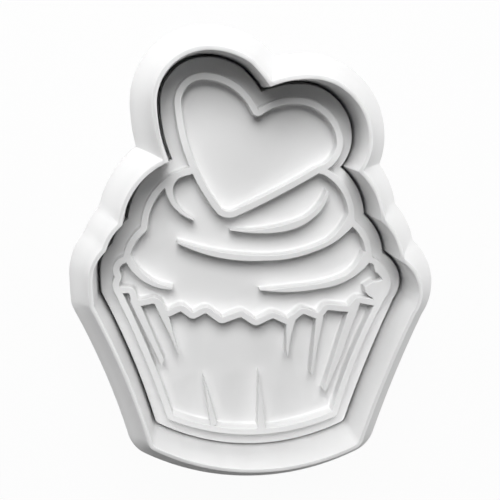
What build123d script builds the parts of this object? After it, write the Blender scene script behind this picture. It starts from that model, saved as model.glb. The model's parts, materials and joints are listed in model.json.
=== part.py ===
"""Plunger cutter for iced biscuits: a cupcake with a heart on top.

Frame: +Z up, origin on the plunger's axis in the flat end of the push knob, on
which the cutter stands with its cutting edge upwards. +Y is the top of the
drawing and +X its right. Lengths are in millimetres.
"""
from build123d import *
import math
import os

# Drawing on the stamp plate
cake_width = 60.5
cake_height = 79.0
base_corner_fillet = 1.2
line_width = 1.3
ruffle_fillet = 1.0
relief_height = 2.8
plate_thickness = 2.5

# Cutter body
plate_clearance = 0.6
blade_thickness = 0.8
plate_drop = 10.0
flare_depth = 6.6
flare_reach = 4.15
flare_bulge_share = 0.085
flare_steps = 5
flange_edge = 3.0

# Back cover
cover_thickness = 2.5
register_height = 1.2
register_thickness = 1.5
register_clearance = 0.1
boss_length = 4.5
boss_wall = 1.6
boss_edge_chamfer = 0.4
vent_diameter = 5.0

# Guide bush
bush_wall = 1.0
bush_collar_width = 1.2
bush_collar_thickness = 0.8
running_clearance = 0.06
seat_clearance = 0.02

# Plunger
travel = 7.5
rod_diameter = 7.0
foot_diameter = 34.0
foot_thickness = 2.0

# Push knob
knob_diameter = 38.0
knob_height = 11.0
knob_face_fillet = 2.2
knob_back_fillet = 1.2
flute_diameter = 5.0
flute_depth = 0.7
flute_count = 20
hub_rise = 3.0
hub_edge_chamfer = 0.4
socket_wall = 3.0
cap_diameter = 16.0
cap_thickness = 1.5
cap_inset = 0.3
cap_clearance = 0.08
cap_edge_fillet = 0.4

# Return spring and its washer
spring_wire = 1.0
spring_turns = 6.5
spring_level_turns = 0.5
spring_clearance = 0.5
spring_end_gap = 0.12
washer_thickness = 0.6
washer_overlap = 0.7
washer_clearance = 0.15
spring_pocket_depth = 1.5

# Screws
cover_screw_diameter = 2.2
cover_screw_head = 3.8
cover_screw_length = 6.5
cover_screw_rim = 0.4
plate_screw_diameter = 2.0
plate_screw_head = 3.6
plate_screw_length = 4.0
plate_screw_edge = 5.0
plate_screw_count = 3
knob_screw_diameter = 3.0
knob_screw_head = 5.6
knob_screw_head_height = 2.0
knob_screw_head_fillet = 0.6
knob_screw_length = 10.0
knob_screw_gap = 0.4
recess_depth_share = 0.5
recess_width_share = 0.5
recess_slot_share = 0.12
head_sink = 0.1
hole_clearance = 0.02
hole_end_gap = 0.4

# Places along the wall's middle line, and of the vents, in shares
cover_screw_place_shares = [0.04, 0.21, 0.37, 0.53, 0.70, 0.87]
vent_shares = [
    (-0.14, 0.36),
    (0.16, 0.33),
    (-0.17, -0.33),
    (0.17, -0.33),
    (-0.36, -0.03),
    (0.36, -0.03),
]

# Closed outlines of the drawing, clockwise, in shares of its width and height.
# A row is the end of one stretch and its bulge as a share of its chord: 0 is
# straight, and None goes on smoothly from the stretch before.
plate_outline_shares = [
    (-0.295, 0.392, 0.049),
    (-0.238, 0.478, None),
    (-0.143, 0.500, None),
    (-0.035, 0.473, None),
    (0.024, 0.419, 0.027),
    (0.151, 0.438, 0.053),
    (0.320, 0.309, None),
    (0.284, 0.235, None),
    (0.368, 0.113, 0.109),
    (0.435, 0.014, 0.106),
    (0.497, -0.049, 0.111),
    (0.481, -0.107, None),
    (0.317, -0.444, -0.014),
    (-0.334, -0.421, 0.126),
    (-0.498, -0.069, -0.024),
    (-0.499, -0.010, 0.008),
    (-0.458, 0.055, None),
    (-0.406, 0.115, 0.087),
    (-0.261, 0.258, 0.144),
]
heart_shares = [
    (0.139, 0.406, 0.09),
    (0.277, 0.318, None),
    (0.207, 0.225, None),
    (-0.061, 0.121, 0.015),
    (-0.123, 0.128, None),
    (-0.252, 0.388, 0.075),
    (-0.157, 0.463, None),
    (0.007, 0.378, None),
]
icing_and_case_shares = [
    (0.225, 0.236, 0),
    (0.325, 0.123, 0.13),
    (0.326, 0.105, 0),
    (0.385, 0.029, 0.10),
    (0.389, 0.010, 0),
    (0.453, -0.051, 0.12),
    (0.436, -0.097, None),
    (0.282, -0.413, -0.028),
    (-0.295, -0.399, 0.109),
    (-0.456, -0.057, -0.017),
    (-0.451, -0.023, 0.12),
    (-0.423, 0.027, 0.25),
    (-0.365, 0.099, 0.09),
    (-0.269, 0.224, 0.12),
    (-0.165, 0.246, 0.05),
    (0.144, 0.249, 0),
]

# Strokes of icing, each closed like the outlines
icing_stroke_shares = [
    # Curl beside the heart
    [
        (-0.196, 0.112, -0.17),
        (-0.204, 0.120, 0),
        (-0.261, 0.178, 0.12),
        (-0.207, 0.223, None),
        (-0.222, 0.238, 0),
        (-0.288, 0.211, 0),
    ],
    # Fold under the heart
    [
        (0.080, 0.079, -0.043),
        (0.195, 0.117, -0.082),
        (0.239, 0.175, -0.086),
        (0.230, 0.182, 0),
        (0.129, 0.106, 0.127),
        (-0.082, 0.087, 0.048),
    ],
    # Long middle fold
    [
        (0.031, 0.008, -0.068),
        (0.195, 0.028, -0.049),
        (0.312, 0.084, -0.064),
        (0.330, 0.098, 0),
        (0.320, 0.120, 0),
        (0.306, 0.136, 0),
        (0.228, 0.052, 0.112),
        (0.031, 0.022, 0.059),
        (-0.249, 0.063, 0.043),
        (-0.252, 0.057, 0),
    ],
    # Lower right fold
    [
        (0.212, -0.068, -0.046),
        (0.376, -0.007, -0.103),
        (0.380, 0.016, 0),
        (0.358, 0.027, 0),
        (0.297, -0.036, 0.10),
        (0.212, -0.054, 0.025),
        (0.015, -0.067, 0.008),
    ],
    # Lower left fold
    [
        (-0.270, -0.059, -0.155),
        (-0.268, -0.052, 0),
        (-0.400, 0.032, 0.14),
        (-0.419, 0.022, 0),
    ],
    # Drop of icing over the case's right corner
    [
        (0.390, -0.002, 0),
        (0.432, -0.018, 0),
        (0.450, -0.050, 0),
        (0.426, -0.098, 0),
        (0.405, -0.105, 0),
        (0.389, -0.094, 0),
        (0.366, -0.066, 0.17),
        (0.394, -0.053, 0),
        (0.400, -0.030, 0),
    ],
]
drop_pocket_shares = [
    (0.377, -0.008, 0),
    (0.386, -0.005, 0),
    (0.392, -0.014, 0),
    (0.387, -0.026, 0),
    (0.403, -0.029, 0),
    (0.423, -0.044, 0),
    (0.424, -0.050, 0),
    (0.409, -0.054, 0),
    (0.394, -0.053, 0),
    (0.372, -0.034, 0),
    (0.366, -0.022, 0),
]

# Pleats of the paper case: from the ruffled edge down, then up from the base
pleat_shares = [
    [
        (-0.383, -0.080),
        (-0.366, -0.110),
        (-0.302, -0.239),
        (-0.309, -0.258),
        (-0.405, -0.086),
        (-0.401, -0.059),
    ],
    [
        (-0.304, -0.097),
        (-0.282, -0.131),
        (-0.253, -0.233),
        (-0.280, -0.177),
        (-0.311, -0.125),
        (-0.330, -0.091),
    ],
    [
        (0.135, -0.145),
        (0.119, -0.192),
        (0.109, -0.247),
        (0.103, -0.226),
        (0.103, -0.152),
    ],
    [
        (0.227, -0.141),
        (0.213, -0.208),
        (0.194, -0.302),
        (0.188, -0.289),
        (0.203, -0.146),
    ],
    [
        (0.354, -0.103),
        (0.287, -0.259),
        (0.242, -0.345),
        (0.231, -0.339),
        (0.291, -0.184),
        (0.314, -0.126),
    ],
    [
        (-0.175, -0.287),
        (-0.130, -0.419),
        (-0.150, -0.428),
    ],
    [
        (0.011, -0.282),
        (0.036, -0.437),
        (0.008, -0.441),
    ],
]

# Middle line of the case's ruffled edge, from left to right
ruffle_shares = [
    (-0.439, -0.056),
    (-0.399, -0.056),
    (-0.392, -0.083),
    (-0.379, -0.091),
    (-0.330, -0.084),
    (-0.312, -0.092),
    (-0.295, -0.124),
    (-0.243, -0.105),
    (-0.206, -0.129),
    (-0.163, -0.112),
    (-0.112, -0.143),
    (-0.048, -0.126),
    (0.001, -0.152),
    (0.058, -0.132),
    (0.108, -0.152),
    (0.158, -0.123),
    (0.212, -0.141),
    (0.238, -0.116),
    (0.317, -0.124),
    (0.344, -0.100),
    (0.408, -0.110),
]

# Heights above the knob's face
knob_screw_floor = cap_inset + cap_thickness + knob_screw_gap + knob_screw_head_height
socket_floor = knob_screw_floor + socket_wall
hub_top = knob_height + hub_rise
spring_seat = knob_height - spring_pocket_depth
washer_top = spring_seat + washer_thickness
boss_bottom = hub_top + travel
cover_bottom = boss_bottom + boss_length
cover_top = cover_bottom + cover_thickness
plate_bottom = cover_top + foot_thickness
plate_top = plate_bottom + plate_thickness
rim_top = plate_top + plate_drop
flange_top = rim_top - flare_depth
flange_bottom = flange_top - flange_edge

# Wall that takes the cover screws, and diameters that follow from what goes inside or on
band_thickness = cover_screw_head + 2 * cover_screw_rim
plate_screw_circle = foot_diameter - 2 * plate_screw_edge
bush_bore = rod_diameter + 2 * running_clearance
bush_outer = bush_bore + 2 * bush_wall
bush_collar = bush_outer + 2 * bush_collar_width
boss_bore = bush_outer + 2 * seat_clearance
boss_outer = boss_bore + 2 * boss_wall
spring_mean = boss_outer + 2 * spring_clearance + spring_wire
spring_outer = spring_mean + spring_wire
washer_bore = boss_outer + 2 * washer_clearance
washer_outer = spring_outer + 2 * washer_overlap
pocket_outer = washer_outer + 2 * washer_clearance


def place(x_share, y_share):
    """Point of the drawing."""
    return Vector(x_share * cake_width, y_share * cake_height)


def drawn(shares):
    """Face inside a closed outline of the drawing."""
    with BuildSketch() as face:
        with BuildLine():
            start = place(*shares[-1][:2])
            for x_share, y_share, bulge_share in shares:
                end = place(x_share, y_share)
                if bulge_share is None:
                    stretch = TangentArc(start, end, tangent=stretch % 1)
                elif bulge_share == 0:
                    stretch = Line(start, end)
                else:
                    stretch = SagittaArc(start, end, bulge_share * (end - start).length)
                start = end
        make_face()
    return face.sketch


def drawn_pleat(shares):
    """Face of one tapering pleat."""
    with BuildSketch() as face:
        with BuildLine():
            Polyline(*[place(*share) for share in shares], close=True)
        make_face()
    return face.sketch


def drawn_ruffle():
    """Band of one line's width along the case's ruffled edge."""
    with BuildSketch() as face:
        with BuildLine():
            FilletPolyline(*[place(*share) for share in ruffle_shares], radius=ruffle_fillet)
        trace(line_width=line_width)
    return face.sketch


def screw_body(diameter, head, length, growth=0, end_gap=0):
    """Flat-headed screw up +Z from its head's face, or its hole when grown."""
    head_radius = head / 2 + growth
    shank_radius = diameter / 2 + growth
    with BuildPart() as screw:
        with BuildSketch(Plane.XZ):
            with BuildLine():
                Polyline(
                    (0, 0),
                    (head_radius, 0),
                    (shank_radius, head_radius - shank_radius),
                    (shank_radius, length + end_gap),
                    (0, length + end_gap),
                    close=True,
                )
            make_face()
        revolve(axis=Axis.Z)
    return screw.part


def with_cross_recess(screw, head):
    """The screw with a cross recess in the head's face, which lies in XY."""
    across = head * recess_width_share
    slot = head * recess_slot_share
    with BuildPart() as driven:
        add(screw)
        with BuildSketch():
            Rectangle(across, slot)
            Rectangle(slot, across)
        extrude(amount=head / 2 * recess_depth_share, mode=Mode.SUBTRACT)
    return driven.part


def plate_screw_places():
    """Places of the plate's screws about the axis of the current plane."""
    return PolarLocations(plate_screw_circle / 2, plate_screw_count)


def ring(outer, inner):
    """Flat ring on the current plane."""
    Circle(outer / 2)
    Circle(inner / 2, mode=Mode.SUBTRACT)


# Outlines that follow the plate's
with BuildSketch() as plate_face:
    add(drawn(plate_outline_shares))
    fillet(plate_face.vertices().sort_by(Axis.Y)[:2], base_corner_fillet)
plate_outline = plate_face.sketch
mouth_outline = offset(plate_outline, plate_clearance)
band_outline = offset(plate_outline, plate_clearance + band_thickness)
wall_middle = offset(plate_outline, plate_clearance + band_thickness / 2).face().outer_wire()
register_outline = offset(plate_outline, plate_clearance - register_clearance)
register_inside = offset(plate_outline, plate_clearance - register_clearance - register_thickness)

# The flare is a hollow curve from the rim out to the flange
flare_line = SagittaArc(
    (0, 0),
    (flare_reach, -flare_depth),
    -flare_bulge_share * math.hypot(flare_reach, flare_depth),
)
flare_points = [flare_line @ (step / flare_steps) for step in range(flare_steps + 1)]
flare_outlines = [
    offset(plate_outline, plate_clearance + blade_thickness + point.X) for point in flare_points
]

cover_screw_places = [wall_middle @ share for share in cover_screw_place_shares]

# Cutter body: blade, hollow flare, flange and the band that takes the cover
with BuildPart() as cutter_body:
    for point, outline in zip(flare_points, flare_outlines):
        with BuildSketch(Plane.XY.offset(rim_top + point.Y)):
            add(outline)
    loft(ruled=True)
    with BuildSketch(Plane.XY.offset(flange_bottom)):
        add(flare_outlines[-1])
    extrude(amount=flange_edge)
    with BuildSketch(Plane.XY.offset(cover_top)):
        add(band_outline)
    extrude(amount=flange_bottom - cover_top)
    with BuildSketch(Plane.XY.offset(cover_top)):
        add(mouth_outline)
    extrude(amount=rim_top - cover_top, mode=Mode.SUBTRACT)
    with BuildSketch(Plane.XY.offset(cover_top)):
        with Locations(*cover_screw_places):
            Circle(cover_screw_diameter / 2 + hole_clearance)
    extrude(amount=cover_screw_length - cover_thickness + hole_end_gap, mode=Mode.SUBTRACT)
cutter_body.part.label = "cutter_body"

# Back cover: plate, locating rim inside the wall, boss for the guide bush
cover_screw_hole = screw_body(cover_screw_diameter, cover_screw_head, cover_screw_length, hole_clearance)
with BuildPart() as back_cover:
    with BuildSketch(Plane.XY.offset(cover_bottom)):
        add(band_outline)
    extrude(amount=cover_thickness)
    with BuildSketch(Plane.XY.offset(cover_top)):
        add(register_outline)
        add(register_inside, mode=Mode.SUBTRACT)
    extrude(amount=register_height)
    with BuildSketch(Plane.XY.offset(boss_bottom)):
        Circle(boss_outer / 2)
    extrude(amount=boss_length)
    chamfer(back_cover.faces().sort_by(Axis.Z)[0].edges(), boss_edge_chamfer)
    with BuildSketch(Plane.XY.offset(boss_bottom)):
        Circle(boss_bore / 2)
    extrude(amount=boss_length + cover_thickness, mode=Mode.SUBTRACT)
    with BuildSketch(Plane.XY.offset(cover_top)):
        Circle(bush_collar / 2 + seat_clearance)
    extrude(amount=-bush_collar_thickness, mode=Mode.SUBTRACT)
    with BuildSketch(Plane.XY.offset(cover_bottom)):
        with Locations(*[place(*share) for share in vent_shares]):
            Circle(vent_diameter / 2)
    extrude(amount=cover_thickness, mode=Mode.SUBTRACT)
    with Locations(*[(spot.X, spot.Y, cover_bottom) for spot in cover_screw_places]):
        add(cover_screw_hole, mode=Mode.SUBTRACT)
back_cover.part.label = "back_cover"

# Cover screws, from behind into the wall
cover_screw = with_cross_recess(
    screw_body(cover_screw_diameter, cover_screw_head, cover_screw_length), cover_screw_head
)
with BuildPart() as cover_screws:
    with Locations(*[(spot.X, spot.Y, cover_bottom) for spot in cover_screw_places]):
        add(cover_screw)
cover_screws.part.label = "cover_screws"

# Guide bush, its collar flush with the cover's inner face
with BuildPart() as guide_bush:
    with BuildSketch(Plane.XY.offset(boss_bottom)):
        ring(bush_outer, bush_bore)
    extrude(amount=boss_length + cover_thickness)
    with BuildSketch(Plane.XY.offset(cover_top)):
        ring(bush_collar, bush_bore)
    extrude(amount=-bush_collar_thickness)
guide_bush.part.label = "guide_bush"

# Stamp plate with the drawing raised on its face
heart = drawn(heart_shares)
icing_and_case = drawn(icing_and_case_shares)
with BuildSketch(Plane.XY.offset(plate_top)) as relief:
    add(icing_and_case)
    offset(icing_and_case, -line_width, mode=Mode.SUBTRACT)
    for stroke in icing_stroke_shares:
        add(drawn(stroke))
    for pleat in pleat_shares:
        add(drawn_pleat(pleat))
    add(drawn_ruffle())
    add(drawn(drop_pocket_shares), mode=Mode.SUBTRACT)
    add(heart)
    offset(heart, -line_width, mode=Mode.SUBTRACT)
with BuildPart() as stamp_plate:
    with BuildSketch(Plane.XY.offset(plate_bottom)):
        add(plate_outline)
    extrude(amount=plate_thickness)
    add(relief.sketch)
    extrude(amount=relief_height)
    with BuildSketch(Plane.XY.offset(plate_bottom)):
        with plate_screw_places():
            Circle(plate_screw_diameter / 2 + hole_clearance)
    extrude(amount=plate_screw_length + head_sink - foot_thickness, mode=Mode.SUBTRACT)
stamp_plate.part.label = "stamp_plate"

# Plunger rod with the foot that carries the plate
plate_screw_hole = screw_body(
    plate_screw_diameter, plate_screw_head, plate_screw_length, hole_clearance
)
with BuildPart() as plunger_rod:
    with BuildSketch(Plane.XY.offset(cover_top)):
        Circle(foot_diameter / 2)
    extrude(amount=foot_thickness)
    with BuildSketch(Plane.XY.offset(socket_floor)):
        Circle(rod_diameter / 2)
    extrude(amount=cover_top - socket_floor)
    with BuildSketch(Plane.XY.offset(socket_floor)):
        Circle(knob_screw_diameter / 2 + hole_clearance)
    extrude(amount=knob_screw_length - socket_wall + hole_end_gap, mode=Mode.SUBTRACT)
    with Locations((0, 0, cover_top + head_sink)):
        with plate_screw_places():
            add(plate_screw_hole, mode=Mode.SUBTRACT)
    with BuildSketch(Plane.XY.offset(cover_top)):
        with plate_screw_places():
            Circle(plate_screw_head / 2 + hole_clearance)
    extrude(amount=head_sink, mode=Mode.SUBTRACT)
plunger_rod.part.label = "plunger_rod"

# Plate screws, from the foot into the plate
plate_screw = with_cross_recess(
    screw_body(plate_screw_diameter, plate_screw_head, plate_screw_length), plate_screw_head
)
with BuildPart() as plate_screws:
    with Locations((0, 0, cover_top + head_sink)):
        with plate_screw_places():
            add(plate_screw)
plate_screws.part.label = "plate_screws"

# Push knob: fluted rim, flat face to press and stand on, hub that stops the travel
knob_radius = knob_diameter / 2
with BuildPart() as push_knob:
    with BuildSketch():
        Circle(knob_radius)
    extrude(amount=knob_height)
    with BuildSketch():
        with PolarLocations(knob_radius + flute_diameter / 2 - flute_depth, flute_count):
            Circle(flute_diameter / 2)
    extrude(amount=knob_height, mode=Mode.SUBTRACT)
    fillet(push_knob.faces().sort_by(Axis.Z)[0].edges(), knob_face_fillet)
    fillet(push_knob.faces().sort_by(Axis.Z)[-1].edges(), knob_back_fillet)
    with BuildSketch(Plane.XY.offset(spring_seat)):
        ring(pocket_outer, boss_outer)
    extrude(amount=spring_pocket_depth, mode=Mode.SUBTRACT)
    with BuildSketch(Plane.XY.offset(knob_height)):
        Circle(boss_outer / 2)
    extrude(amount=hub_rise)
    chamfer(push_knob.faces().sort_by(Axis.Z)[-1].edges(), hub_edge_chamfer)
    with BuildSketch(Plane.XY.offset(socket_floor)):
        Circle(rod_diameter / 2 + seat_clearance)
    extrude(amount=hub_top - socket_floor, mode=Mode.SUBTRACT)
    with BuildSketch():
        Circle(cap_diameter / 2 + cap_clearance)
    extrude(amount=cap_inset + cap_thickness, mode=Mode.SUBTRACT)
    with BuildSketch():
        Circle(knob_screw_head / 2 + cap_clearance)
    extrude(amount=knob_screw_floor, mode=Mode.SUBTRACT)
    with BuildSketch():
        Circle(knob_screw_diameter / 2 + hole_clearance)
    extrude(amount=socket_floor, mode=Mode.SUBTRACT)
push_knob.part.label = "push_knob"

# Knob screw, up into the rod's end
with BuildPart() as knob_screw:
    with BuildSketch(Plane.XY.offset(knob_screw_floor)):
        Circle(knob_screw_head / 2)
    extrude(amount=-knob_screw_head_height)
    fillet(knob_screw.faces().sort_by(Axis.Z)[0].edges(), knob_screw_head_fillet)
    with BuildSketch(Plane.XY.offset(knob_screw_floor)):
        Circle(knob_screw_diameter / 2)
    extrude(amount=knob_screw_length)
    with BuildSketch(Plane.XY.offset(knob_screw_floor - knob_screw_head_height)):
        Rectangle(knob_screw_head * recess_width_share, knob_screw_head * recess_slot_share)
        Rectangle(knob_screw_head * recess_slot_share, knob_screw_head * recess_width_share)
    extrude(amount=knob_screw_head_height * recess_depth_share, mode=Mode.SUBTRACT)
knob_screw.part.label = "knob_screw"

# Cap over the knob screw
with BuildPart() as knob_cap:
    with BuildSketch(Plane.XY.offset(cap_inset)):
        Circle(cap_diameter / 2)
    extrude(amount=cap_thickness)
    fillet(knob_cap.faces().sort_by(Axis.Z)[0].edges(), cap_edge_fillet)
knob_cap.part.label = "knob_cap"

# Washer under the spring, round the knob's hub
with BuildPart() as spring_washer:
    with BuildSketch(Plane.XY.offset(spring_seat)):
        ring(washer_outer, washer_bore)
    extrude(amount=washer_thickness)
spring_washer.part.label = "spring_washer"

# Return spring: one wire whose end turns lie level on the washer and the cover
spring_radius = spring_mean / 2
coil_bottom = washer_top + spring_end_gap + spring_wire / 2
coil_top = cover_bottom - spring_end_gap - spring_wire / 2
pitch = (coil_top - coil_bottom) / (spring_turns - spring_level_turns)


def coil_height(turns):
    """Height of the wire's middle line, eased level over the first and last turns."""
    if turns > spring_turns / 2:
        return coil_top - coil_height(spring_turns - turns) + coil_bottom
    if turns < spring_level_turns:
        return coil_bottom + pitch * turns**2 / (2 * spring_level_turns)
    return coil_bottom + pitch * (turns - spring_level_turns / 2)


def coil_point(turns):
    """Point of the wire's middle line."""
    angle = 2 * math.pi * turns
    return Vector(spring_radius * math.cos(angle), spring_radius * math.sin(angle), coil_height(turns))


def coil_heading(turns):
    """Direction of the wire's middle line."""
    angle = 2 * math.pi * turns
    slope = pitch * min(1, turns / spring_level_turns, (spring_turns - turns) / spring_level_turns)
    around = 2 * math.pi * spring_radius
    return Vector(-around * math.sin(angle), around * math.cos(angle), slope).normalized()


def biarc(start, start_heading, end, end_heading):
    """Two arcs from point to point that keep the headings at both ends."""
    across = end - start
    both = start_heading + end_heading
    square = 2 * (start_heading.dot(end_heading) - 1)
    linear = -2 * across.dot(both)
    reach = (-linear - math.sqrt(linear**2 - 4 * square * across.dot(across))) / (2 * square)
    middle = (start + end + (start_heading - end_heading) * reach) / 2
    first = TangentArc(start, middle, tangent=start_heading)
    TangentArc(middle, end, tangent=first % 1)


with BuildPart() as return_spring:
    with BuildLine() as coil:
        quarters = round(4 * spring_turns)
        marks = [spring_turns * quarter / quarters for quarter in range(quarters + 1)]
        for begin, finish in zip(marks, marks[1:]):
            biarc(coil_point(begin), coil_heading(begin), coil_point(finish), coil_heading(finish))
    with BuildSketch(Plane(origin=coil_point(0), z_dir=coil_heading(0))):
        Circle(spring_wire / 2)
    sweep()
return_spring.part.label = "return_spring"

samples_per_turn = 48
samples = [coil_point(step / samples_per_turn) for step in range(round(spring_turns * samples_per_turn) + 1)]
least_gap = min(
    (there - here).length - spring_wire
    for index, here in enumerate(samples)
    for there in samples[index + samples_per_turn // 2:]
)
print(f"spring: {spring_turns} turns, least gap to itself {least_gap:.2f} mm")

os.makedirs("parts", exist_ok=True)
for piece in (
    cutter_body,
    back_cover,
    cover_screws,
    guide_bush,
    return_spring,
    spring_washer,
    stamp_plate,
    plunger_rod,
    plate_screws,
    push_knob,
    knob_screw,
    knob_cap,
):
    export_step(piece.part, f"parts/{piece.part.label}.step")
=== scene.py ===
"""Looks of a plunger cutter that stands on its push knob, cutting edge up.

Lengths are in metres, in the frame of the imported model: +Z up, +Y the top of
the drawing, the floor at z = 0.
"""
import bpy
import bmesh
import json
import math
from collections import Counter
from mathutils import Matrix, Vector
from mathutils.bvhtree import BVHTree

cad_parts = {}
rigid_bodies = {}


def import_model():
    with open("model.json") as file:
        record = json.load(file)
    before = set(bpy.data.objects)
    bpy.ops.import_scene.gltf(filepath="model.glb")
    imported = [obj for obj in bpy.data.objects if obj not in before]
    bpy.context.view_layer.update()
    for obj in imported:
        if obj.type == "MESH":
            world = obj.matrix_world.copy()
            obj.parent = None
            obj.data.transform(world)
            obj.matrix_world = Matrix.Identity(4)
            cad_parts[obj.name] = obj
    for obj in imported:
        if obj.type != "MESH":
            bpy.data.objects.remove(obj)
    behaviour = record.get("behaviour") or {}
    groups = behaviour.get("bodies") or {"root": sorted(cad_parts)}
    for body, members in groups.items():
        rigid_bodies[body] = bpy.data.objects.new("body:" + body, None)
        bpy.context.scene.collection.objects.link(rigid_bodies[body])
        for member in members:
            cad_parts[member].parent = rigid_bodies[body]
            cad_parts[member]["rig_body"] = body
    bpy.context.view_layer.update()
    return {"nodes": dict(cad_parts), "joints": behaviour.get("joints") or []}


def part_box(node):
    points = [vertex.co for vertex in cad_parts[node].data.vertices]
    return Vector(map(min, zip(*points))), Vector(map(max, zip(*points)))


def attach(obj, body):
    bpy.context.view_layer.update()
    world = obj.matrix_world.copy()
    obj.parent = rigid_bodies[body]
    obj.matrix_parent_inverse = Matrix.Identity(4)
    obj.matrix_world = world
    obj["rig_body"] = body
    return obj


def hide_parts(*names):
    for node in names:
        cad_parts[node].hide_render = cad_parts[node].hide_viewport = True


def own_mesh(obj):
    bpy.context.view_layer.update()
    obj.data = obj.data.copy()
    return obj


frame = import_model()

MM = 0.001
PHOTO_PIXELS = 500
SENSOR_WIDTH = 36.0

# Camera, from the photograph's own perspective
CAMERA_FOCAL_PIXELS = 742.0
CAMERA_PLACE = Vector((-18.09, 31.83, 176.5)) * MM
CAMERA_AIM = Vector((-1.99, 4.38, 43.0)) * MM
CAMERA_NEAR = 0.01
CAMERA_FAR = 20.0

# Floor and light
FLOOR_SIZE = 4.0
FLOOR_WHITE = 0.75
FLOOR_SEEN_SHARE = 0.95
LAMP_DISTANCE = 0.7
FILL_STRENGTH = 0.02

# Lamps: azimuth from the top of the drawing towards its right and elevation, both in
# degrees, width in metres and power in watts
LAMPS = (
    ("key", 352.0, 50.0, 0.5, 5.1),
    ("left_side", 302.0, 12.0, 0.35, 1.5),
    ("right_side", 80.0, 14.0, 0.35, 1.8),
)

# Plastic: clouds of shade and dullness, and a fine grain
CLOUD_SCALE = 60.0
CLOUD_DETAIL = 3.0
CLOUD_SHADE = 0.985
CLOUD_DULLNESS = 0.1
GRAIN_SCALE = 2600.0
GRAIN_DETAIL = 2.0
GRAIN_DULLNESS = 0.06
GRAIN_DEPTH = 0.03 * MM
PLASTIC_IOR = 1.46

# Steel: fine drawn lines
LINE_SCALE = 900.0
LINE_DETAIL = 4.0
LINE_SHADE = 0.86
LINE_DULLNESS = 0.2
LINE_STRENGTH = 0.25
LINE_DEPTH = 0.01 * MM

# Rounded edges of the pieces
BODY_EDGE = 0.12 * MM
SMALL_EDGE = 0.08 * MM
THIN_CAP_EDGE = 0.0
EDGE_SEGMENTS = 2
SHARP_ANGLE = math.radians(32)
FLAT_ANGLE = math.radians(0.6)
MERGE_DISTANCE = 0.001 * MM

# Rounded tops and soft feet of the stamp plate's raised drawing
RELIEF_EDGE = 0.14 * MM
RELIEF_FOOT = 0.4 * MM
ROUNDING_STEPS = 4
ROOM_SHARE = 0.4
WIDTH_SLOPE = 0.3
SLOPE_PASSES = 30
LONGEST_MITRE = 1.5
LEAST_HALF_SINE = 0.01
RAY_START = 5 * MERGE_DISTANCE
LEVEL_FACE = 0.99
LEVEL_SHADED_FACE = 0.999
HEIGHT_DIGITS = 6

# Spring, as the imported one
SPRING_WIRE = 1.0 * MM
SPRING_TURNS = 6.5
SPRING_LEVEL_TURNS = 0.5
SPRING_POINTS_PER_TURN = 48
SPRING_SIDES = 16


class Flow:
    """A socket whose arithmetic adds Math nodes, in a shader or a geometry tree."""

    def __init__(self, tree, socket):
        self.tree = tree
        self.socket = socket

    def maths(self, operation, *values):
        return node(self.tree, "ShaderNodeMath", {"operation": operation}, dict(enumerate(values)))

    def __add__(self, other):
        return self.maths("ADD", self, other)

    def __radd__(self, other):
        return self.maths("ADD", other, self)

    def __sub__(self, other):
        return self.maths("SUBTRACT", self, other)

    def __mul__(self, other):
        return self.maths("MULTIPLY", self, other)

    def __rmul__(self, other):
        return self.maths("MULTIPLY", other, self)

    def __truediv__(self, other):
        return self.maths("DIVIDE", self, other)

    def smallest(self, other):
        return self.maths("MINIMUM", self, other)

    def largest(self, other):
        return self.maths("MAXIMUM", self, other)

    def sine(self):
        return self.maths("SINE", self)

    def cosine(self):
        return self.maths("COSINE", self)


def join(tree, value, socket):
    """Links a flow to a socket, or sets the socket to a value."""
    if isinstance(value, Flow):
        tree.links.new(value.socket, socket)
    else:
        socket.default_value = value


def node(tree, kind, settings=None, inputs=None, output=0):
    """Adds a node: its settings first, then the values or links of its sockets."""
    made = tree.nodes.new(kind)
    for name, value in (settings or {}).items():
        setattr(made, name, value)
    for name, value in (inputs or {}).items():
        join(tree, value, made.inputs[name])
    return Flow(tree, made.outputs[output])


def grey(level):
    return (level, level, level, 1.0)


def new_material(name):
    """An empty material with a Principled surface, and its object coordinates."""
    material = bpy.data.materials.new(name)
    material.use_nodes = True
    tree = material.node_tree
    tree.nodes.clear()
    surface = tree.nodes.new("ShaderNodeBsdfPrincipled")
    output = tree.nodes.new("ShaderNodeOutputMaterial")
    tree.links.new(surface.outputs[0], output.inputs[0])
    place = node(tree, "ShaderNodeTexCoord", output="Object")
    return material, tree, surface, place


def noise(tree, place, scale, detail):
    """Even noise, with 0.5 as its middle."""
    inputs = {"Vector": place, "Scale": scale, "Detail": detail}
    return node(tree, "ShaderNodeTexNoise", inputs=inputs)


def blend(tree, share, first, second):
    """Goes from the first colour at a share of 0 to the second at 1."""
    inputs = {0: share, 6: first, 7: second}
    return node(tree, "ShaderNodeMix", {"data_type": "RGBA"}, inputs, output=2)


def relief(tree, height, strength, depth):
    """Normal of a surface with a fine relief."""
    inputs = {"Height": height, "Strength": strength, "Distance": depth}
    return node(tree, "ShaderNodeBump", inputs=inputs, output="Normal")


def plastic(name, shade, tint, roughness, grain):
    """Matt plastic: faint cloudiness, uneven dullness and a fine grain."""
    material, tree, surface, place = new_material(name)
    cloud = noise(tree, place, CLOUD_SCALE, CLOUD_DETAIL)
    fine = noise(tree, place, GRAIN_SCALE, GRAIN_DETAIL)
    pale = (*[shade * part for part in tint], 1.0)
    clouded = (*[shade * CLOUD_SHADE * part for part in tint], 1.0)
    dullness = roughness + CLOUD_DULLNESS * (cloud - 0.5) + GRAIN_DULLNESS * (fine - 0.5)
    join(tree, blend(tree, cloud, clouded, pale), surface.inputs["Base Color"])
    join(tree, dullness, surface.inputs["Roughness"])
    join(tree, relief(tree, fine, grain, GRAIN_DEPTH), surface.inputs["Normal"])
    surface.inputs["IOR"].default_value = PLASTIC_IOR
    return material


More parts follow.
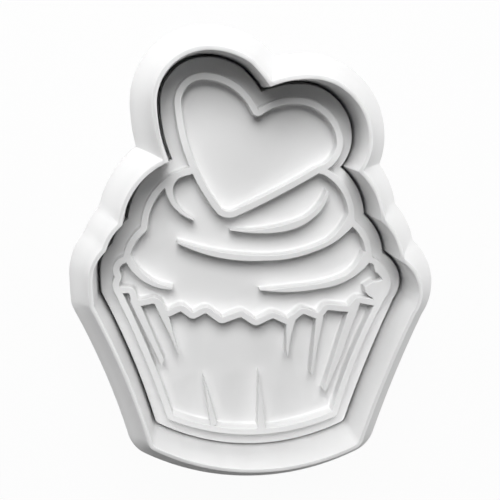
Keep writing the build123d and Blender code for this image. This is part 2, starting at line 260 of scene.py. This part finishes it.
def steel(name, shade, roughness, stretch):
    """Bright steel with fine lines drawn out along one direction."""
    material, tree, surface, place = new_material(name)
    along = node(tree, "ShaderNodeMapping", inputs={"Vector": place, "Scale": stretch})
    lines = noise(tree, along, LINE_SCALE, LINE_DETAIL)
    colour = blend(tree, lines, grey(shade * LINE_SHADE), grey(shade))
    join(tree, colour, surface.inputs["Base Color"])
    join(tree, roughness + LINE_DULLNESS * (lines - 0.5), surface.inputs["Roughness"])
    join(tree, relief(tree, lines, LINE_STRENGTH, LINE_DEPTH), surface.inputs["Normal"])
    surface.inputs["Metallic"].default_value = 1.0
    return material


white_plastic = plastic(
    "white_plastic", shade=0.78, tint=(1.0, 1.0, 1.0), roughness=0.55, grain=0.25
)
bush_plastic = plastic(
    "bush_plastic", shade=0.74, tint=(1.0, 0.98, 0.92), roughness=0.35, grain=0.12
)
spring_steel = steel("spring_steel", shade=0.62, roughness=0.3, stretch=(1.0, 1.0, 6.0))
screw_steel = steel("screw_steel", shade=0.66, roughness=0.28, stretch=(1.0, 1.0, 0.2))


def new_object(name, data):
    """An object at the origin of the scene."""
    made = bpy.data.objects.new(name, data)
    bpy.context.scene.collection.objects.link(made)
    return made


def mesh_in_place_of(rough):
    """Final mesh of an object with its modifiers. The object itself goes."""
    evaluated = rough.evaluated_get(bpy.context.evaluated_depsgraph_get())
    mesh = bpy.data.meshes.new_from_object(evaluated)
    bpy.data.objects.remove(rough)
    return mesh


def whole_shell(name):
    """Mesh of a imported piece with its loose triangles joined."""
    shell = bmesh.new()
    shell.from_mesh(frame["nodes"][name].data)
    bmesh.ops.remove_doubles(shell, verts=shell.verts, dist=MERGE_DISTANCE)
    return shell


def stands_for(name, mesh, material):
    """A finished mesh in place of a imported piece."""
    mesh.materials.clear()
    mesh.materials.append(material)
    piece = new_object(name + "_finished", mesh)
    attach(piece, frame["nodes"][name]["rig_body"])
    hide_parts(name)


def softened(name, width, material):
    """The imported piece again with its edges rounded, in place of the sharp one."""
    shell = whole_shell(name)
    bmesh.ops.dissolve_limit(
        shell,
        angle_limit=FLAT_ANGLE,
        verts=shell.verts,
        edges=shell.edges,
        delimit={"NORMAL"},
    )
    mesh = bpy.data.meshes.new(name)
    shell.to_mesh(mesh)
    shell.free()
    rough = new_object(name + "_rough", mesh)
    edges = rough.modifiers.new("edges", "BEVEL")
    edges.width = width
    edges.segments = EDGE_SEGMENTS
    edges.limit_method = "ANGLE"
    edges.angle_limit = SHARP_ANGLE
    edges.use_clamp_overlap = False
    edges.harden_normals = True
    edges.miter_outer = "MITER_ARC"
    mesh.shade_smooth()
    stands_for(name, mesh_in_place_of(rough), material)


class RimCorner:
    """Where two edges of a flat face's rim meet, with the flat face between them."""

    def __init__(self, came, goes):
        self.came = came
        self.goes = goes
        self.vert = goes.vert
        wall = goes.link_loop_radial_next.face
        self.up = 1 if wall.calc_center_median().z > self.vert.co.z else -1
        before = (goes.vert.co - came.vert.co).to_2d()
        after = (goes.link_loop_next.vert.co - goes.vert.co).to_2d()
        self.shortest = min(before.length, after.length)
        before.normalize()
        after.normalize()
        inwards = before.orthogonal() + after.orthogonal()
        half_sine = inwards.length / 2
        self.inwards = inwards.normalized()
        self.mitre = min(1 / max(half_sine, LEAST_HALF_SINE), LONGEST_MITRE)
        self.slide = math.sqrt(max(1 - half_sine**2, 0.0)) if before.cross(after) > 0 else 0.0

    def set_room(self, across, widest):
        """Takes the widest rounding that fits between the walls here."""
        heading = self.inwards.to_3d()
        start = self.vert.co + heading * RAY_START + Vector((0, 0, self.up * widest))
        met = across.ray_cast(start, heading)[3]
        room = widest if met is None else ROOM_SHARE * met / self.mitre
        if self.slide > 0:
            room = min(room, ROOM_SHARE * self.shortest / (self.mitre * self.slide))
        self.width = min(widest, room)

    def point(self, share):
        """Point of the rounding, from the wall at 0 to the flat face at 1."""
        angle = share * math.pi / 2
        inset = self.inwards * (self.width * self.mitre * (1 - math.cos(angle)))
        rise = self.up * self.width * (1 - math.sin(angle))
        return self.vert.co + Vector((inset.x, inset.y, rise))


def turned_over(face, fans):
    """Whether a flat triangle turns over when the roundings take their room from it."""
    first, second, third = (
        fans[loop].point(1) if loop in fans else loop.vert.co for loop in face.loops
    )
    return (second - first).to_2d().cross((third - first).to_2d()) < 0


def rounded_rim(shell, height, edge_width, foot_width):
    """Rounds where the flat faces at a height meet upright walls.

    A wall that goes down from there gets a rounded top and one that goes up a
    soft foot.
    """
    # Dictionaries keep the mesh's own order, so each run gives the same mesh
    tops = dict.fromkeys(
        face
        for face in shell.faces
        if face.normal.z > LEVEL_FACE
        and abs(face.calc_center_median().z - height) < MERGE_DISTANCE
    )
    rim = dict.fromkeys(
        loop
        for face in tops
        for loop in face.loops
        if loop.link_loop_radial_next.face not in tops
    )
    corners = {}
    for goes in rim:
        came = goes.link_loop_prev
        while came not in rim:
            came = came.link_loop_radial_next.link_loop_prev
        corners[goes] = RimCorner(came, goes)
    across = BVHTree.FromBMesh(shell)
    meetings = Counter(corner.vert for corner in corners.values())
    for corner in corners.values():
        corner.set_room(across, edge_width if corner.up < 0 else foot_width)
        if meetings[corner.vert] > 1:
            corner.width = 0.0
    pairs = [(corner, corners[corner.came]) for corner in corners.values()]
    for _ in range(SLOPE_PASSES):
        for one, other in pairs:
            rise = WIDTH_SLOPE * (one.vert.co - other.vert.co).length
            one.width = min(one.width, other.width + rise)
            other.width = min(other.width, one.width + rise)
    # Each loop of a flat face starts at the corner whose fan of faces it is in
    fans = {}
    for goes, corner in corners.items():
        loop = goes
        fans[loop] = corner
        while loop.link_loop_prev not in rim:
            loop = loop.link_loop_prev.link_loop_radial_next
            fans[loop] = corner
    turned = tops
    while turned:
        turned = [face for face in tops if turned_over(face, fans)]
        for face in turned:
            for loop in face.loops:
                if loop in fans:
                    fans[loop].width /= 2
    rings = {}
    for goes, corner in corners.items():
        steps = range(1, ROUNDING_STEPS + 1)
        rings[goes] = [shell.verts.new(corner.point(step / ROUNDING_STEPS)) for step in steps]
        rings[goes].insert(0, corner.vert)
    new_tops = [
        [rings[fans[loop].goes][-1] if loop in fans else loop.vert for loop in face.loops]
        for face in tops
    ]
    strips = []
    for corner in corners.values():
        here, there = rings[corner.came], rings[corner.goes]
        for low in range(ROUNDING_STEPS):
            strips.append((here[low], there[low], there[low + 1], here[low + 1]))
    lowered = {corner.vert: corner.point(0) for corner in corners.values()}
    bmesh.ops.delete(shell, geom=list(tops), context="FACES_ONLY")
    for vert, spot in lowered.items():
        vert.co = spot
    for verts in new_tops + strips:
        shell.faces.new(verts)
    loose = [edge for edge in shell.edges if not edge.link_faces]
    bmesh.ops.delete(shell, geom=loose, context="EDGES")


def stamped(name, material):
    """The stamp plate with the edges of its raised drawing and its rim rounded."""
    shell = whole_shell(name)
    heights = sorted(
        {
            round(face.calc_center_median().z, HEIGHT_DIGITS)
            for face in shell.faces
            if face.normal.z > LEVEL_FACE
        }
    )
    for height in (heights[0], heights[-1]):
        rounded_rim(shell, height, RELIEF_EDGE, RELIEF_FOOT)
    shell.normal_update()
    for edge in shell.edges:
        if len(edge.link_faces) == 2:
            flat = any(face.normal.z > LEVEL_SHADED_FACE for face in edge.link_faces)
            angle = edge.calc_face_angle(0.0)
            edge.smooth = angle < SHARP_ANGLE and not (flat and angle > FLAT_ANGLE)
    mesh = bpy.data.meshes.new(name)
    shell.to_mesh(mesh)
    shell.free()
    mesh.shade_smooth()
    stands_for(name, mesh, material)


def spring_tree():
    """Geometry nodes that wind a wire with level end turns round the Z axis."""
    tree = bpy.data.node_groups.new("wound_spring", "GeometryNodeTree")
    tree.interface.new_socket("Geometry", in_out="OUTPUT", socket_type="NodeSocketGeometry")
    sizes = ("Bottom", "Top", "Radius", "Wire", "Turns", "Level Turns")
    for size in sizes:
        tree.interface.new_socket(size, in_out="INPUT", socket_type="NodeSocketFloat")
    tree.interface.new_socket("Material", in_out="INPUT", socket_type="NodeSocketMaterial")
    given = tree.nodes.new("NodeGroupInput")
    bottom, top, radius, wire, turns, level = (Flow(tree, given.outputs[size]) for size in sizes)
    low = bottom + wire / 2
    high = top - wire / 2
    steps = turns * SPRING_POINTS_PER_TURN
    line = node(
        tree,
        "GeometryNodeMeshLine",
        {"mode": "OFFSET"},
        {"Count": steps + 1, "Offset": (0.0, 0.0, MM)},
    )
    index = node(tree, "GeometryNodeInputIndex")
    turn = index / SPRING_POINTS_PER_TURN
    begin = level - turn.smallest(level)
    finish = (turn - (turns - level)).largest(0.0)
    climbed = turn - level / 2 + begin * begin / (2 * level) - finish * finish / (2 * level)
    height = low + (high - low) * climbed / (turns - level)
    angle = turn * (2 * math.pi)
    spot = node(
        tree,
        "ShaderNodeCombineXYZ",
        inputs={"X": radius * angle.cosine(), "Y": radius * angle.sine(), "Z": height},
    )
    wound = node(tree, "GeometryNodeSetPosition", inputs={"Geometry": line, "Position": spot})
    path = node(tree, "GeometryNodeMeshToCurve", inputs={"Mesh": wound})
    section = node(
        tree,
        "GeometryNodeCurvePrimitiveCircle",
        {"mode": "RADIUS"},
        {"Resolution": SPRING_SIDES, "Radius": wire / 2},
    )
    swept = node(
        tree,
        "GeometryNodeCurveToMesh",
        inputs={"Curve": path, "Profile Curve": section, "Fill Caps": True},
    )
    smooth = node(tree, "GeometryNodeSetShadeSmooth", inputs={"Geometry": swept})
    metal = Flow(tree, given.outputs["Material"])
    inputs = {"Geometry": smooth, "Material": metal}
    done = node(tree, "GeometryNodeSetMaterial", inputs=inputs)
    result = tree.nodes.new("NodeGroupOutput")
    tree.links.new(done.socket, result.inputs[0])
    return tree


def wound_spring():
    """Return spring, wound once between the ends of the imported one."""
    low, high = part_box("return_spring")
    tree = spring_tree()
    holder = new_object("spring_wire_path", bpy.data.meshes.new("spring_wire_path"))
    winding = holder.modifiers.new("winding", "NODES")
    winding.node_group = tree
    given = {
        "Bottom": low.z,
        "Top": high.z,
        "Radius": (high.x - low.x) / 2 - SPRING_WIRE / 2,
        "Wire": SPRING_WIRE,
        "Turns": SPRING_TURNS,
        "Level Turns": SPRING_LEVEL_TURNS,
        "Material": spring_steel,
    }
    for socket in tree.interface.items_tree:
        if socket.in_out == "INPUT":
            winding[socket.identifier] = given[socket.name]
    return new_object("return_spring_wound", mesh_in_place_of(holder))


PIECES = (
    ("cutter_body", BODY_EDGE, white_plastic, "body_plastic"),
    ("back_cover", BODY_EDGE, white_plastic, "body_plastic"),
    ("push_knob", BODY_EDGE, white_plastic, "body_plastic"),
    ("knob_cap", THIN_CAP_EDGE, white_plastic, "body_plastic"),
    ("plunger_rod", BODY_EDGE, white_plastic, "body_plastic"),
    ("guide_bush", SMALL_EDGE, bush_plastic, "bush_plastic"),
    ("cover_screws", SMALL_EDGE, screw_steel, "screw_steel"),
    ("plate_screws", SMALL_EDGE, screw_steel, "screw_steel"),
    ("knob_screw", SMALL_EDGE, screw_steel, "screw_steel"),
    ("spring_washer", SMALL_EDGE, screw_steel, "screw_steel"),
)
for name, width, material, slot in PIECES:
    softened(name, width, material)
stamped("stamp_plate", white_plastic)

joint = frame["joints"][0]
travel = joint["range_m"][1]
fixed_height = joint["deforming_nodes"][0]["fixed_end_z_m"]
free_length = fixed_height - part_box("spring_washer")[1].z
spring = wound_spring()
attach(spring, "cutter")
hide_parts("return_spring")
(free_length - travel) / free_length
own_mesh(spring)


def seen_share(tree):
    """1 for what the camera sees, also in metal and glass, and 0 for stray light."""
    path = tree.nodes.new("ShaderNodeLightPath")
    camera = Flow(tree, path.outputs["Is Camera Ray"])
    glossy = Flow(tree, path.outputs["Is Glossy Ray"])
    through = Flow(tree, path.outputs["Is Transmission Ray"])
    return camera.largest(glossy).largest(through)


def white_floor():
    """Pale floor that the camera sees as white, with the object's shadow on it."""
    material = bpy.data.materials.new("pale_floor")
    material.use_nodes = True
    tree = material.node_tree
    tree.nodes.clear()
    paint = node(tree, "ShaderNodeBsdfDiffuse", inputs={"Color": grey(FLOOR_WHITE)})
    white = node(tree, "ShaderNodeEmission", inputs={"Color": grey(1.0), "Strength": 1.0})
    share = seen_share(tree) * FLOOR_SEEN_SHARE
    mixed = node(tree, "ShaderNodeMixShader", inputs={0: share, 1: paint, 2: white})
    output = tree.nodes.new("ShaderNodeOutputMaterial")
    tree.links.new(mixed.socket, output.inputs[0])
    mesh = bpy.data.meshes.new("floor")
    half = FLOOR_SIZE / 2
    corners = [(-half, -half, 0.0), (half, -half, 0.0), (half, half, 0.0), (-half, half, 0.0)]
    mesh.from_pydata(corners, [], [(0, 1, 2, 3)])
    mesh.materials.append(material)
    new_object("floor", mesh)


def soft_world():
    """Faint even light from all round, white where the camera sees it."""
    world = bpy.data.worlds.new("studio")
    bpy.context.scene.world = world
    world.use_nodes = True
    tree = world.node_tree
    tree.nodes.clear()
    strength = seen_share(tree).largest(FILL_STRENGTH)
    sky = node(tree, "ShaderNodeBackground", inputs={"Color": grey(1.0), "Strength": strength})
    output = tree.nodes.new("ShaderNodeOutputWorld")
    tree.links.new(sky.socket, output.inputs[0])


def soft_lamp(name, azimuth, elevation, width, power):
    """Round soft lamp that faces the cutter."""
    lamp = bpy.data.lights.new(name, "AREA")
    lamp.shape = "DISK"
    lamp.size = width
    lamp.energy = power
    holder = new_object(name, lamp)
    azimuth = math.radians(azimuth)
    elevation = math.radians(elevation)
    towards = Vector(
        (
            math.sin(azimuth) * math.cos(elevation),
            math.cos(azimuth) * math.cos(elevation),
            math.sin(elevation),
        )
    )
    holder.location = CAMERA_AIM + towards * LAMP_DISTANCE
    holder.rotation_mode = "QUATERNION"
    holder.rotation_quaternion = towards.to_track_quat("Z", "Y")


def photo_camera():
    """Camera at the photograph's place, with the top of the drawing up."""
    lens = bpy.data.cameras.new("photo_camera")
    lens.sensor_width = SENSOR_WIDTH
    lens.lens = CAMERA_FOCAL_PIXELS / PHOTO_PIXELS * SENSOR_WIDTH
    lens.clip_start = CAMERA_NEAR
    lens.clip_end = CAMERA_FAR
    camera = new_object("photo_camera", lens)
    back = (CAMERA_PLACE - CAMERA_AIM).normalized()
    right = Vector((0, 1, 0)).cross(back).normalized()
    up = back.cross(right)
    turn = Matrix((right, up, back)).transposed().to_4x4()
    camera.matrix_world = Matrix.Translation(CAMERA_PLACE) @ turn
    bpy.context.scene.camera = camera


white_floor()
soft_world()
for lamp in LAMPS:
    soft_lamp(*lamp)
photo_camera()
bpy.context.scene.view_settings.view_transform = "Standard"
